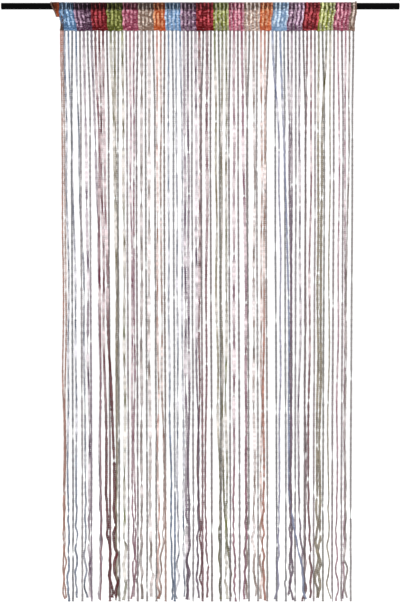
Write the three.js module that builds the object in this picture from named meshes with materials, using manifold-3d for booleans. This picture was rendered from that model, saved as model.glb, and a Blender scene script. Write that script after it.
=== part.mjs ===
// Tassel door curtain on its rod: a black rod, the knitted rod pocket folded over it,
// and a comb of flat knitted strings that hangs from the pocket's lower edge.
// Millimetres. +X runs along the rod to the right, +Z is up, -Y is the front.
// The origin is the middle of the rod's axis.

import * as THREE from 'three';
import { mergeVertices } from 'three/addons/utils/BufferGeometryUtils.js';
import Module from 'manifold-3d';

const TOUCH = 0.3; // gap between pieces that touch

const ROD = { radius: 11, length: 1340, bevel: 1, sides: 40 };

// The pocket's ends lean: its top edge and its lower edge start and stop at different places.
const POCKET = {
  sheet: 1.5,
  topLeft: -505,
  topRight: 526,
  lowLeft: -472,
  lowRight: 518,
  lowZ: -67.7,
  seamHeight: 3, // the two layers are joined this far up from the lower edge
  seamHalf: 1.9, // half the thickness of the joined layers
  seamSlit: 0.4, // half the width of the hollow just above the seam
  stations: 26,
  arcSteps: 12,
  fallSteps: 6,
  wrap: 100, // degrees from the top, each way, over which the band lies on the rod
};

// How far each layer of the pocket stands out between the rod and the seam.
const POCKET_FOLDS = [
  { at: 0.0, front: 1.0, back: 2.4 },
  { at: 0.12, front: 2.6, back: 0.6 },
  { at: 0.3, front: 0.4, back: 1.8 },
  { at: 0.46, front: 2.2, back: 0.5 },
  { at: 0.62, front: 0.7, back: 2.1 },
  { at: 0.8, front: 2.8, back: 1.0 },
  { at: 1.0, front: 0.8, back: 2.0 },
];

const COMB = { tapeHeight: 13, tapeHalf: 1.5, tapeLeft: -473, tapeRight: 520 };

// The first two strings sit close together at the end of the tape, and the rest are evenly spaced.
const STRING = {
  count: 78,
  endPair: [-469.4, -462.6],
  first: -457.2,
  pitch: 12.97,
  width: 4,
  thick: 1.5,
  root: 6, // how far a string runs up into the tape
  layer: 2.5, // free strings hang this far in front of or behind the steady ones
  settle: 120, // depth by which a string has reached its layer
  length: 1924,
  ragged: 9,
};

// Steady strings soon settle to an even spacing of their own. From there to their ends they hang
// a little aslant, because the curtain has been pushed to one side.
const STEADY = {
  first: 3.58,
  step: 2.431,
  strings: 31,
  left: -428.3,
  spacing: 31.15,
  settle: 300, // depth at which they have settled
  plumb: 1700, // depth at which they are back above their ends
};

// How far across from its end a steady string is where it has settled.
const ASLANT = [
  { string: 0, shift: -5 },
  { string: 58, shift: -5 },
  { string: 62, shift: 2.5 },
  { string: 66, shift: 5 },
  { string: 78, shift: 6 },
];

// Depths below the tape at which the free strings' sideways drift is given.
const LEVEL = { upper: 420, middle: 880, low: 1520, end: 1924 };
const LEVEL_STEPS = [0, 120, 270, 420, 650, 880, 1200, 1520, 1720, 1924];

// Sideways drift, in millimetres, of the strings that leave their places. Any that isn't
// here and isn't steady hangs where it starts.
const DRIFTS = [
  { string: 0, upper: 5, middle: 8, low: 10, end: 10 },
  { string: 1, upper: 5, middle: 10, low: 7, end: 6 },
  { string: 2, upper: 7, middle: 14, low: 12, end: 13 },
  { string: 3, upper: 12, middle: 24, low: 27, end: 26 },
  { string: 5, upper: 9, middle: 26, low: 31, end: 32 },
  { string: 7, upper: 8, middle: 14, low: 19, end: 21 },
  { string: 9, upper: 15, middle: 27, low: 30, end: 30 },
  { string: 10, upper: 13, middle: 15, low: 19, end: 19 },
  { string: 11, upper: 8, middle: 15, low: 24, end: 41 },
  { string: 12, upper: 5, middle: 15, low: 38, end: 42 },
  { string: 14, upper: 13, middle: 19, low: 14, end: 14 },
  { string: 15, upper: 3, middle: 11, low: 7, end: 8 },
  { string: 17, upper: 4, middle: 7, low: 8, end: 8 },
  { string: 19, upper: 2, middle: 7, low: 8, end: 12 },
  { string: 20, upper: 0, middle: 1, low: 3, end: 5 },
  { string: 24, upper: 0, middle: -1, low: 3, end: 9 },
  { string: 26, upper: 1, middle: 2, low: 5, end: 5 },
  { string: 27, upper: 0, middle: 2, low: 10, end: 1 },
  { string: 29, upper: 0, middle: 1, low: 7, end: 15 },
  { string: 31, upper: 1, middle: 4, low: 5, end: 5 },
  { string: 32, upper: 8, middle: 7, low: 12, end: 14 },
  { string: 33, upper: 3, middle: 5, low: 8, end: 12 },
  { string: 34, upper: 2, middle: 3, low: 4, end: 0 },
  { string: 36, upper: 3, middle: 3, low: 10, end: 15 },
  { string: 37, upper: 4, middle: 0, low: -3, end: 2 },
  { string: 39, upper: 0, middle: -2, low: -5, end: -9 },
  { string: 41, upper: 5, middle: 6, low: 16, end: 20 },
  { string: 43, upper: -3, middle: -4, low: 3, end: 30 },
  { string: 48, upper: 6, middle: 14, low: 14, end: 12 },
  { string: 49, upper: 5, middle: 5, low: 2, end: 4 },
  { string: 51, upper: 5, middle: 2, low: 3, end: 6 },
  { string: 53, upper: 3, middle: 1, low: 1, end: -1 },
  { string: 54, upper: 0, middle: -3, low: -5, end: -3 },
  { string: 56, upper: 22, middle: 27, low: 23, end: 16 },
  { string: 58, upper: 14, middle: 28, low: 29, end: 81 },
  { string: 60, upper: 5, middle: 10, low: 9, end: 7 },
  { string: 61, upper: 0, middle: -1, low: -3, end: 0 },
  { string: 63, upper: 0, middle: 3, low: -4, end: 17 },
  { string: 65, upper: -5, middle: -6, low: -6, end: -6 },
  { string: 66, upper: 0, middle: -5, low: -9, end: -2 },
  { string: 68, upper: -2, middle: -3, low: -6, end: -9 },
  { string: 70, upper: -16, middle: -19, low: -23, end: -24 },
  { string: 71, upper: -1, middle: -4, low: -7, end: -5 },
  { string: 73, upper: 5, middle: 1, low: -4, end: -3 },
  { string: 75, upper: -2, middle: -2, low: -5, end: -4 },
  { string: 76, upper: -3, middle: -12, low: -15, end: -12 },
];

const COLOURS = { rod: 0x0c0c0d, pocket: 0x9a6a78, strings: 0x8d7f83 };

const wasm = await Module();
wasm.setup();

function smooth(t) {
  return t * t * (3 - 2 * t);
}

// Reads a column of a table between its rows.
function between(rows, key, column, at) {
  const next = rows.findIndex((row) => row[key] >= at);
  if (next <= 0) return rows[next < 0 ? rows.length - 1 : 0][column];
  const [low, high] = [rows[next - 1], rows[next]];
  const t = (at - low[key]) / (high[key] - low[key]);
  return THREE.MathUtils.lerp(low[column], high[column], smooth(t));
}

function closedGeometry(positions, triangles) {
  const geometry = new THREE.BufferGeometry();
  geometry.setAttribute('position', new THREE.Float32BufferAttribute(positions, 3));
  geometry.setIndex(triangles);
  return geometry;
}

// A LatheGeometry turned so that its axis lies along the rod.
function rodGeometry() {
  const half = ROD.length / 2;
  const profile = [
    [0, -half],
    [ROD.radius - ROD.bevel, -half],
    [ROD.radius, -half + ROD.bevel],
    [ROD.radius, half - ROD.bevel],
    [ROD.radius - ROD.bevel, half],
    [0, half],
  ].map(([r, y]) => new THREE.Vector2(r, y));
  const geometry = new THREE.LatheGeometry(profile, ROD.sides);
  geometry.rotateZ(-Math.PI / 2);
  return geometry;
}

// One closed line round a layer of the pocket, from the front of the seam over the rod to its back.
function pocketLoop(radius, lowZ, seamHalf, front, back) {
  const wrap = THREE.MathUtils.degToRad(POCKET.wrap);
  const edge = { y: radius * Math.sin(wrap), z: radius * Math.cos(wrap) };
  const loop = [];
  const fall = (side, belly, t) => {
    const y = THREE.MathUtils.lerp(edge.y, seamHalf, t) + belly * Math.sin(Math.PI * t);
    loop.push({ y: side * y, z: THREE.MathUtils.lerp(edge.z, lowZ, t) });
  };
  for (let i = POCKET.fallSteps; i > 0; i--) fall(-1, front, i / POCKET.fallSteps);
  for (let i = 0; i <= POCKET.arcSteps; i++) {
    const angle = wrap * ((2 * i) / POCKET.arcSteps - 1);
    loop.push({ y: radius * Math.sin(angle), z: radius * Math.cos(angle) });
  }
  for (let i = 1; i <= POCKET.fallSteps; i++) fall(1, back, i / POCKET.fallSteps);
  return loop;
}

// The pocket is a sleeve: an outer and an inner skin, joined by a ring at each open end.
function pocketGeometry() {
  // The flats of the loop clear the round rod, so its corners stand a little further out.
  const halfStep = THREE.MathUtils.degToRad(POCKET.wrap / POCKET.arcSteps);
  const inner = (ROD.radius + TOUCH) / Math.cos(halfStep);
  const outer = inner + POCKET.sheet;
  const positions = [];
  const triangles = [];
  let ring = 0;
  for (let s = 0; s < POCKET.stations; s++) {
    const at = s / (POCKET.stations - 1);
    const front = between(POCKET_FOLDS, 'at', 'front', at);
    const back = between(POCKET_FOLDS, 'at', 'back', at);
    const innerLow = POCKET.lowZ + POCKET.seamHeight;
    const loops = [
      pocketLoop(outer, POCKET.lowZ, POCKET.seamHalf, front, back),
      pocketLoop(inner, innerLow, POCKET.seamSlit, front, back),
    ];
    ring = loops[0].length;
    for (const { y, z } of loops.flat()) {
      const down = (outer - z) / (outer - POCKET.lowZ);
      const left = THREE.MathUtils.lerp(POCKET.topLeft, POCKET.lowLeft, down);
      const right = THREE.MathUtils.lerp(POCKET.topRight, POCKET.lowRight, down);
      positions.push(THREE.MathUtils.lerp(left, right, at), y, z);
    }
  }
  const quad = (a, b, c, d) => triangles.push(a, c, b, a, d, c);
  const index = (station, skin, i) => (station * 2 + skin) * ring + (i % ring);
  for (let i = 0; i < ring; i++) {
    for (let s = 0; s + 1 < POCKET.stations; s++) {
      quad(index(s, 0, i), index(s, 0, i + 1), index(s + 1, 0, i + 1), index(s + 1, 0, i));
      quad(index(s, 1, i), index(s + 1, 1, i), index(s + 1, 1, i + 1), index(s, 1, i + 1));
    }
    const last = POCKET.stations - 1;
    quad(index(0, 0, i), index(0, 1, i), index(0, 1, i + 1), index(0, 0, i + 1));
    quad(index(last, 0, i), index(last, 0, i + 1), index(last, 1, i + 1), index(last, 1, i));
  }
  return closedGeometry(positions, triangles);
}

const driftOf = new Map(DRIFTS.map((row) => [row.string, row]));

// Each steady string's place across the curtain at its end.
const plumbOf = new Map();
for (let k = 0; k < STEADY.strings; k++) {
  const number = Math.round(STEADY.first + STEADY.step * k);
  if (!driftOf.has(number)) plumbOf.set(number, STEADY.left + STEADY.spacing * k);
}

function stringTop(number) {
  const pair = STRING.endPair;
  return number < pair.length ? pair[number] : STRING.first + (number - pair.length) * STRING.pitch;
}

function stringDrift(number, depth) {
  if (plumbOf.has(number)) {
    const aslant = between(ASLANT, 'string', 'shift', number);
    const shift = plumbOf.get(number) + aslant - stringTop(number);
    const settled = smooth(THREE.MathUtils.clamp(depth / STEADY.settle, 0, 1));
    const hung = (depth - STEADY.settle) / (STEADY.plumb - STEADY.settle);
    return shift * settled - aslant * smooth(THREE.MathUtils.clamp(hung, 0, 1));
  }
  const row = driftOf.get(number);
  if (!row) return 0;
  const stops = [{ depth: 0, shift: 0 }];
  for (const level of Object.keys(LEVEL)) stops.push({ depth: LEVEL[level], shift: row[level] });
  return between(stops, 'depth', 'shift', depth);
}

// Where a string's middle lies at a depth below the tape.
function stringPoint(number, depth) {
  const side = number % 2 ? 1 : -1;
  const settled = smooth(Math.min(depth / STRING.settle, 1));
  return {
    x: stringTop(number) + stringDrift(number, depth),
    y: plumbOf.has(number) ? 0 : side * STRING.layer * settled,
  };
}

function stringLength(number) {
  const wave = Math.sin(number * 2.3) * Math.sin(number * 0.71);
  return STRING.length - (plumbOf.has(number) ? 0 : STRING.ragged * (1 + wave));
}

// A string is a flat tape: four corners at each depth, closed at both ends.
function stringGeometry(number) {
  const low = POCKET.lowZ - TOUCH - COMB.tapeHeight;
  const scale = stringLength(number) / STRING.length;
  const corners = [
    [-STRING.width / 2, -STRING.thick / 2],
    [STRING.width / 2, -STRING.thick / 2],
    [STRING.width / 2, STRING.thick / 2],
    [-STRING.width / 2, STRING.thick / 2],
  ];
  const positions = [];
  const triangles = [];
  for (const step of LEVEL_STEPS) {
    const depth = step * scale;
    const { x, y } = stringPoint(number, depth);
    const z = step ? low - depth : low + STRING.root;
    for (const [dx, dy] of corners) positions.push(x + dx, y + dy, z);
  }
  for (let s = 0; s + 1 < LEVEL_STEPS.length; s++) {
    for (let i = 0; i < corners.length; i++) {
      const a = s * corners.length + i;
      const b = s * corners.length + ((i + 1) % corners.length);
      triangles.push(a, a + corners.length, b, b, a + corners.length, b + corners.length);
    }
  }
  const end = (LEVEL_STEPS.length - 1) * corners.length;
  triangles.push(0, 1, 2, 0, 2, 3, end, end + 2, end + 1, end, end + 3, end + 2);
  return closedGeometry(positions, triangles);
}

function tapeGeometry() {
  const width = COMB.tapeRight - COMB.tapeLeft;
  const geometry = new THREE.BoxGeometry(width, 2 * COMB.tapeHalf, COMB.tapeHeight);
  const top = POCKET.lowZ - TOUCH;
  geometry.translate((COMB.tapeLeft + COMB.tapeRight) / 2, 0, top - COMB.tapeHeight / 2);
  return geometry;
}

function toSolid(geometry) {
  const bare = geometry.clone();
  bare.deleteAttribute('normal');
  bare.deleteAttribute('uv');
  const merged = mergeVertices(bare);
  return new wasm.Manifold(
    new wasm.Mesh({
      numProp: 3,
      vertProperties: Float32Array.from(merged.attributes.position.array),
      triVerts: Uint32Array.from(merged.index.array),
    }),
  );
}

function fromSolid(solid) {
  const mesh = solid.getMesh();
  return closedGeometry(Array.from(mesh.vertProperties), Array.from(mesh.triVerts));
}

// The fringe's header tape with every string joined to it.
function combGeometry() {
  let comb = toSolid(tapeGeometry());
  for (let number = 0; number < STRING.count; number++) {
    comb = comb.add(toSolid(stringGeometry(number)));
  }
  return fromSolid(comb);
}

function cloth(colour) {
  return new THREE.MeshStandardMaterial({ color: colour, roughness: 0.85, metalness: 0 });
}

function part(name, geometry, material) {
  const mesh = new THREE.Mesh(geometry, material);
  mesh.name = name;
  return mesh;
}

const curtain = new THREE.Group();
const paint = new THREE.MeshStandardMaterial({
  color: COLOURS.rod,
  roughness: 0.4,
  metalness: 0.2,
});
curtain.add(part('curtain_rod', rodGeometry(), paint));
curtain.add(part('rod_pocket', pocketGeometry(), cloth(COLOURS.pocket)));
curtain.add(part('string_comb', combGeometry(), cloth(COLOURS.strings)));

export default curtain;
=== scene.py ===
"""Tassel door curtain on its rod: knitted strings, the openwork band over the rod, and its paint.

Metres. +X runs along the rod to the right, +Z is up and -Y is the front.
"""

import math
from collections import namedtuple

import bpy
import numpy as np
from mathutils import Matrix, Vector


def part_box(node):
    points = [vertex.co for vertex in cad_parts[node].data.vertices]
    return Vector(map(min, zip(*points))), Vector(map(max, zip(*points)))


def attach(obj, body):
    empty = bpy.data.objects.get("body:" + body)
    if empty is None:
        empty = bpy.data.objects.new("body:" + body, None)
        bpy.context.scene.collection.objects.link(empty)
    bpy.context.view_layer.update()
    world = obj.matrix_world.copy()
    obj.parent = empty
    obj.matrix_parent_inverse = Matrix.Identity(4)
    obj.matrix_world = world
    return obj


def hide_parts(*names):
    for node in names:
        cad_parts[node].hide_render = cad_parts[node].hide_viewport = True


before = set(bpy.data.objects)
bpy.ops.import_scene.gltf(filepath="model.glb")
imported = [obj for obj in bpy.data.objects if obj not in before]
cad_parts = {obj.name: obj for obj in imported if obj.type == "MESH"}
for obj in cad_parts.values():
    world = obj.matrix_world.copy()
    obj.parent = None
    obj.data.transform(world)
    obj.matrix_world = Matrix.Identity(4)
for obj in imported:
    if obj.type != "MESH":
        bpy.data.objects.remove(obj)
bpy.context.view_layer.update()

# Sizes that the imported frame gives.
ROD_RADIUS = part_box("curtain_rod")[1].z
comb_low, comb_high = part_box("string_comb")

# The hem along the band's lower edge.
HEM_TOP = comb_high.z
HEM_DEEP = 0.013
HEM_FOOT = HEM_TOP - HEM_DEEP

# The strings start in the hem: two close together at its left end, and the rest evenly spaced.
STRING_COUNT = 78
END_PAIR = (-0.4694, -0.4626)
FIRST_TOP = -0.4572
STRING_PITCH = 0.01297

# How far up in the hem a string is rooted, how long it is below the hem, and how much shorter the
# free strings are on the whole.
STRING_ROOT = 0.006
STRING_LENGTH = HEM_FOOT - comb_low.z
RAGGED = 0.009

# Free strings hang a layer in front of the steady ones or behind them, once they have settled.
LAYER = 0.0025
SETTLE = 0.12

# Which strings are steady, apart from those in DRIFTS: the first, and the step to each of the rest.
STEADY_FIRST = 3.58
STEADY_STEP = 2.431
STEADY_COUNT = 31

# Steady strings soon settle to an even spacing of their own. From there to their ends they hang a
# little aslant. ASLANT is how far across from its end a string then is, at some of the strings.
STEADY_LEFT = -0.4283
STEADY_SPACING = 0.03115
STEADY_SETTLE = 0.3
STEADY_PLUMB = 1.7
ASLANT = {0: -0.005, 58: -0.005, 62: 0.0025, 66: 0.005, 78: 0.006}

# Sideways drift of the free strings that leave their places, in millimetres at each level below the
# first, where there is none.
LEVELS = (0, 0.42, 0.88, 1.52, STRING_LENGTH)
DRIFTS = {
    0: (5, 8, 10, 10),
    1: (5, 10, 7, 6),
    2: (7, 14, 12, 13),
    3: (12, 24, 27, 26),
    5: (9, 26, 31, 32),
    7: (8, 14, 19, 21),
    9: (15, 27, 30, 30),
    10: (13, 15, 19, 19),
    11: (8, 15, 24, 41),
    12: (5, 15, 38, 42),
    14: (13, 19, 19, 20),
    15: (3, 11, 7, 8),
    17: (4, 7, 8, 8),
    19: (2, 7, 8, 12),
    20: (0, 1, 3, 5),
    24: (0, -1, 3, 9),
    26: (1, 2, 5, 5),
    27: (0, 2, 10, 1),
    29: (0, 1, 7, 15),
    31: (1, 4, 5, 5),
    32: (8, 7, 12, 14),
    33: (3, 5, 8, 12),
    34: (2, 3, 4, 0),
    36: (3, 3, 10, 8),
    37: (4, 0, -3, 8),
    39: (0, -2, -5, 1),
    41: (5, 6, 16, 20),
    43: (-3, -4, 3, 30),
    48: (6, 14, 14, 12),
    49: (5, 5, 2, 4),
    51: (5, 2, 3, 6),
    53: (3, 1, 1, -1),
    54: (0, -3, -5, -3),
    56: (22, 27, 23, 16),
    58: (14, 28, 29, 81),
    60: (5, 10, 9, 7),
    61: (0, -1, -3, 0),
    63: (0, 3, -4, 17),
    65: (-5, -6, -6, -6),
    66: (0, -5, -9, -2),
    68: (-2, -3, -6, -9),
    70: (-16, -19, -23, -24),
    71: (-1, -4, -7, -5),
    73: (5, 1, -4, -3),
    75: (-2, -2, -5, -4),
    76: (-3, -12, -15, -12),
}

# Depths at which every string keeps a crease from the way the curtain was folded for its pack.
CREASES = (0.268, 0.327, 0.604, 0.664, 1.002, 1.285, 1.344, 1.627, 1.688)

# Small loops that a few strings have curled into near their ends: how far down, and how wide.
Curl = namedtuple("Curl", "start wide")
CURLS = {
    21: Curl(1.84, 0.003),
    36: Curl(1.862, 0.0035),
    37: Curl(1.885, 0.003),
    58: Curl(1.87, 0.004),
    59: Curl(1.85, 0.0035),
    60: Curl(1.9, 0.003),
}

# Each block of strings from left to right: its yarn, how many strings it has, how bright the band
# is in the block, which is painted light that falls more on its middle and right-hand blocks, and
# how washed out it is there, how full its strings are, and how much dye they have kept.
Block = namedtuple("Block", "yarn count bright wash body kept")
BLOCKS = [
    Block("orange", 2, 1.0, 0, 0.9, 0.1),
    Block("blue", 4, 1.2, 0, 0.88, 0.1),
    Block("purple", 4, 1.04, 0, 1.1, 0.2),
    Block("red", 4, 1.0, 0, 1.12, 0.3),
    Block("green", 4, 1.0, 0, 1.1, 0.35),
    Block("pink", 4, 1.0, 0, 0.92, 0.26),
    Block("beige", 4, 1.0, 0, 1.2, 0.2),
    Block("orange", 3, 1.0, 0, 0.88, 0.16),
    Block("blue", 4, 1.4, 0.2, 0.85, 0.15),
    Block("purple", 4, 1.35, 0.1, 1.15, 0.3),
    Block("red", 4, 1.35, 0, 1.3, 0.45),
    Block("green", 4, 1.8, 0.2, 1.0, 0.42),
    Block("pink", 4, 1.5, 0.2, 1.15, 0.2),
    Block("beige", 4, 1.5, 0.3, 1.05, 0.25),
    Block("orange", 3, 1.1, 0.05, 0.95, 0.1),
    Block("pale_blue", 4, 1.0, 0, 1.05, 0.08),
    Block("purple", 4, 1.55, 0.12, 0.95, 0.32),
    Block("red", 4, 1.42, 0.02, 0.93, 0.4),
    Block("green", 4, 2.0, 0.2, 0.95, 0.2),
    Block("pink", 4, 1.15, 0.1, 0.8, 0.18),
    Block("beige", 2, 0.92, 0, 0.88, 0.12),
]

# Each block's first string, and the blocks whose first slack rib is still of the yarn before.
FIRSTS = [sum(block.count for block in BLOCKS[:place]) for place in range(len(BLOCKS))]
LATE = range(11, 21)

# Each yarn dyed, as it is where the band is drawn tight; lit, where it lies slack and catches the
# light; and faded, as it is in a string.
Yarn = namedtuple("Yarn", "dyed lit faded")
YARNS = {
    "blue": Yarn((70, 106, 144), (178, 208, 238), (90, 93, 108)),
    "purple": Yarn((66, 32, 58), (202, 170, 194), (96, 74, 96)),
    "red": Yarn((82, 0, 4), (197, 82, 91), (110, 50, 68)),
    "green": Yarn((74, 78, 18), (180, 184, 112), (112, 95, 64)),
    "pink": Yarn((130, 44, 70), (222, 154, 172), (124, 84, 102)),
    "beige": Yarn((124, 96, 82), (230, 214, 202), (106, 94, 88)),
    "orange": Yarn((172, 70, 26), (238, 176, 132), (136, 110, 96)),
    "pale_blue": Yarn((112, 142, 176), (214, 230, 246), (114, 111, 142)),
}

# Yarn that has lost all its dye.
UNDYED = (0.9, 0.842, 0.856, 1)

# Strings that stand out from their neighbours: how much dye they show, from 0 to 1, how wide they
# lie, and the depth from which they do.
Bright = namedtuple("Bright", "dye wide start")
BRIGHT = {
    0: Bright(0.35, 0.85, 0.2),
    1: Bright(0.35, 0.8, 1.0),
    2: Bright(0.4, 1.0, 1.5),
    3: Bright(0.3, 1.0, 1.5),
    8: Bright(0.15, 0.9, 0.9),
    10: Bright(0.0, 0.72, 1.2),
    11: Bright(0.85, 1.4, 1.3),
    12: Bright(0.85, 1.4, 1.05),
    13: Bright(0.6, 1.2, 1.5),
    14: Bright(0.1, 0.85, 0.9),
    19: Bright(0.3, 0.9, 1.5),
    28: Bright(0.2, 1.0, 1.6),
    29: Bright(0.5, 1.0, 1.35),
    30: Bright(0.5, 1.0, 1.6),
    34: Bright(0.5, 1.2, 1.3),
    36: Bright(0.55, 1.0, 1.2),
    37: Bright(0.55, 1.0, 1.1),
    38: Bright(0.4, 1.1, 1.2),
    39: Bright(0.45, 1.0, 0.9),
    41: Bright(0.6, 1.0, 1.65),
    43: Bright(0.6, 1.0, 1.6),
    46: Bright(0.5, 1.0, 1.5),
    48: Bright(0.4, 1.1, 1.5),
    54: Bright(0.5, 1.1, 1.0),
    56: Bright(0.0, 0.9, 0.5),
    58: Bright(0.35, 1.0, 0.45),
    60: Bright(0.35, 1.2, 0.45),
    61: Bright(0.4, 1.1, 0.6),
    63: Bright(0.4, 1.0, 1.5),
    66: Bright(0.7, 1.1, 1.2),
    68: Bright(0.12, 1.2, 0.45),
    70: Bright(0.18, 1.35, 0.45),
    71: Bright(0.0, 0.75, 0.3),
    73: Bright(0.3, 0.8, 1.5),
}


def linear(colour):
    """A colour given in 0 to 255 as the four numbers that a shader takes."""
    parts = [c / 255 for c in colour]
    return [c / 12.92 if c < 0.04045 else ((c + 0.055) / 1.055) ** 2.4 for c in parts] + [1]


def ease(t):
    """0 up to 0, 1 from 1 on, and a smooth rise in between."""
    t = np.clip(t, 0, 1)
    return t * t * (3 - 2 * t)


def onset(at, start, over):
    """0 up to start, then a smooth rise to 1 over the given length."""
    return ease((at - start) / over)


def bell(at, middle, reach):
    """1 in the middle and falling away to both sides."""
    return np.exp(-(((at - middle) / reach) ** 2))


def eased(at, stops, values):
    """Values read between stops, easing from each one to the next."""
    stops = np.asarray(stops, float)
    values = np.asarray(values, float)
    after = np.clip(np.searchsorted(stops, at), 1, len(stops) - 1)
    share = ease((at - stops[after - 1]) / (stops[after] - stops[after - 1]))
    return values[after - 1] + (values[after] - values[after - 1]) * share


# ---------------------------------------------------------------- finishes

# How many plies wind round a leg and how often they do along it, how fine the noise is that gives
# a yarn its patches and its flecks, how aslant the flecks lie, and how deep its plies are.
PLIES = 3
WINDINGS = 4
PATCH_SCALE = 0.16
FLECK_SCALE = 2.3
FLECK_SLANT = 0.4
PLY_DEEP = 0.00012

# How much patches change the dye and the tone of a yarn, how much flecks and plies change its tone,
# how much of its lit colour is left in washed yarn, and how rough it is, with and without flecks.
PATCH_DYE = 0.3
PATCH_TONE = 0.4
FLECK_TONE = 0.35
PLY_TONE = 0.06
WASHED_TINT = 0.15
YARN_ROUGH = 0.34
FLECK_ROUGH = 0.3

# What is the same all over a yarn's surface.
YARN_LUSTRE = {"Sheen Weight": 0.03, "Sheen Roughness": 0.4, "Specular IOR Level": 0.06}


class Value:
    """A shader socket. Sums written with it add the nodes that work them out."""

    def __init__(self, finish, socket):
        self.finish = finish
        self.socket = socket

    def __add__(self, other):
        return self.finish.sum("ADD", self, other)

    def __sub__(self, other):
        return self.finish.sum("SUBTRACT", self, other)

    def __mul__(self, other):
        return self.finish.sum("MULTIPLY", self, other)

    __radd__ = __add__


class Finish:
    """A material and the nodes that give it its look."""

    def __init__(self, name):
        self.material = bpy.data.materials.new(name)
        self.material.use_nodes = True
        self.tree = self.material.node_tree
        self.tree.nodes.clear()

    def node(self, kind, settings=None, inputs=None, output=0):
        """Adds a node. inputs holds steady values, or Values to link."""
        node = self.tree.nodes.new(kind)
        for key, value in (settings or {}).items():
            if key == "stops":
                ramp = node.color_ramp.elements
                while len(ramp) < len(value):
                    ramp.new(1)
                for element, (position, colour) in zip(ramp, value):
                    element.position = position
                    element.color = colour
            elif key == "interpolation":
                node.color_ramp.interpolation = value
            else:
                setattr(node, key, value)
        for key, value in (inputs or {}).items():
            if isinstance(value, Value):
                self.tree.links.new(value.socket, node.inputs[key])
            else:
                node.inputs[key].default_value = value
        return Value(self, node.outputs[output] if len(node.outputs) else None)

    def sum(self, operation, *values):
        return self.node("ShaderNodeMath", {"operation": operation}, dict(enumerate(values)))

    def clamped(self, value):
        return self.node("ShaderNodeClamp", None, {0: value})

    def attribute(self, name):
        return self.node("ShaderNodeAttribute", {"attribute_name": name}, None, 2)

    def stitch_place(self):
        """Where a point lies on its stitch, across or around it and along it."""
        place = self.node("ShaderNodeUVMap", {"uv_map": "stitches"})
        return [self.node("ShaderNodeSeparateXYZ", None, {0: place}, axis) for axis in (0, 1)]

    def blend(self, share, low, high):
        """From colour low to colour high, by share."""
        settings = {"data_type": "RGBA"}
        return self.node("ShaderNodeMix", settings, {0: share, 6: low, 7: high}, 2)

    def brighten(self, colour, amount):
        settings = {"operation": "SCALE"}
        return self.node("ShaderNodeVectorMath", settings, {0: colour, "Scale": amount})

    def noise(self, at, scale, detail=2):
        """Noise along one line."""
        settings = {"noise_dimensions": "1D"}
        inputs = {"W": at, "Scale": scale, "Detail": detail}
        return self.node("ShaderNodeTexNoise", settings, inputs)

    def speckle(self, scale, detail=2):
        """Noise all through the piece, which stays with it."""
        spot = self.node("ShaderNodeTexCoord", None, None, 3)
        inputs = {"Vector": spot, "Scale": scale, "Detail": detail}
        return self.node("ShaderNodeTexNoise", None, inputs)

    def surface(self, colour, roughness, height, depth, steady=None):
        """Ends the material in one shader; what is in steady is the same all over."""
        bump = self.node("ShaderNodeBump", None, {"Height": height, "Distance": depth})
        inputs = {"Base Color": colour, "Roughness": roughness, "Normal": bump}
        inputs.update(steady or {})
        shader = self.node("ShaderNodeBsdfPrincipled", None, inputs)
        self.node("ShaderNodeOutputMaterial", None, {"Surface": shader})
        return self.material


def yarn_finish(name, yarn):
    """Lustrous yarn whose plies wind along every leg of its stitches.

    dye goes from 0, faded, by 1, dyed, to 2, lit, which is a painted highlight. pale goes from 0 by
    1, washed, to 2, undyed.
    """
    finish = Finish(name)
    dyed, lit, faded = [linear(colour) for colour in yarn]
    around, along = finish.stitch_place()
    dye = finish.attribute("dye")
    shade = finish.attribute("shade")
    pale = finish.attribute("pale")
    mottle = finish.attribute("mottle")
    plies = finish.sum("SINE", (around * PLIES + along * WINDINGS) * math.tau)
    patches = finish.noise(along, PATCH_SCALE)
    flecks = finish.noise(along + around * FLECK_SLANT, FLECK_SCALE)
    fleck = (flecks - 0.5) * mottle
    kept = dye + (patches - 0.5) * PATCH_DYE
    colour = finish.blend(finish.clamped(kept), faded, dyed)
    # Dye over 1 and flecks bring in the lit colour: painted highlight.
    colour = finish.blend(finish.clamped(kept + fleck - 1), colour, lit)
    washed = [(1 - WASHED_TINT) * plain + WASHED_TINT * light for plain, light in zip(UNDYED, lit)]
    colour = finish.blend(finish.clamped(pale), colour, washed)
    colour = finish.blend(finish.clamped(pale - 1), colour, UNDYED)
    tone = shade * (1 - PATCH_TONE / 2 + patches * PATCH_TONE)
    tone = tone * (1 + fleck * FLECK_TONE + plies * PLY_TONE)
    colour = finish.brighten(colour, tone)
    roughness = YARN_ROUGH + flecks * FLECK_ROUGH
    return finish.surface(colour, roughness, plies, PLY_DEEP, YARN_LUSTRE)


# ---------------------------------------------------------------- chains of stitches

# Chains of V stitches: how many stitches, how wide and thick, how far apart, and their legs' lean.
Chain = namedtuple("Chain", "stitches width thick pitch lean")
STRING_CHAIN = Chain(275, 0.0064, 0.0015, 0.007, 0.13)
RIB_CHAIN = Chain(26, 0.0074, 0.0021, 0.0078, 0.2)
SLACK_CHAIN = Chain(26, 0.0062, 0.0015, 0.0078, 0.16)
HEM_CHAIN = Chain(3, 0.0068, 0.0019, 0.0044, 0.3)

# A leg's length, width, thickness and place to the side, as shares of its chain's sizes.
LEG_LONG = 1.28
LEG_WIDE = 0.62
LEG_THICK = 1.15
LEG_ASIDE = 0.24

# How far apart the noise of one chain lies from that of the next.
SEED_STEP = 37.7


def deselect():
    bpy.ops.object.select_all(action="DESELECT")


def apply_modifier(piece, kind, **settings):
    bpy.context.view_layer.objects.active = piece
    modifier = piece.modifiers.new(kind.lower(), kind)
    for key, value in settings.items():
        setattr(modifier, key, value)
    bpy.ops.object.modifier_apply(modifier=modifier.name)


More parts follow.
